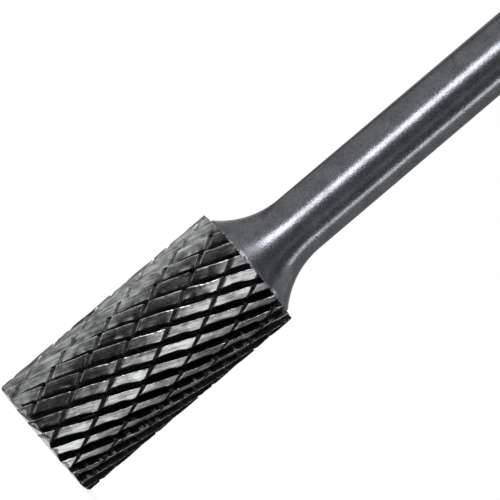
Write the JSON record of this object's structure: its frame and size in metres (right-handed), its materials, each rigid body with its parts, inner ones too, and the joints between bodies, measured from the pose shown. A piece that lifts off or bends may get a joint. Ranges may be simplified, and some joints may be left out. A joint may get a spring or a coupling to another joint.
{
  "type": "cylindrical carbide burr",
  "caption": "Cylindrical rotary burr: a double-cut carbide head with helical teeth and chip breakers, brazed to a flared steel shank.",
  "frame": {"origin": "centre of the circle of the front cutting edges, on the surface that the burr stands on", "axes": "+Z along the burr's axis, from the head to the free end of the shank"},
  "size_m": [0.0126, 0.0126, 0.07],
  "materials": {
    "carbide": "ground tungsten carbide, semi-bright, with fine grinding lines along the flutes",
    "braze": "dull silver braze",
    "shank_steel": "satin ground steel with fine pits and scratches"
  },
  "bodies": {
    "root": {"cutting_head": "carbide", "braze_film": "braze", "shank": "shank_steel"}
  },
  "joints": []
}
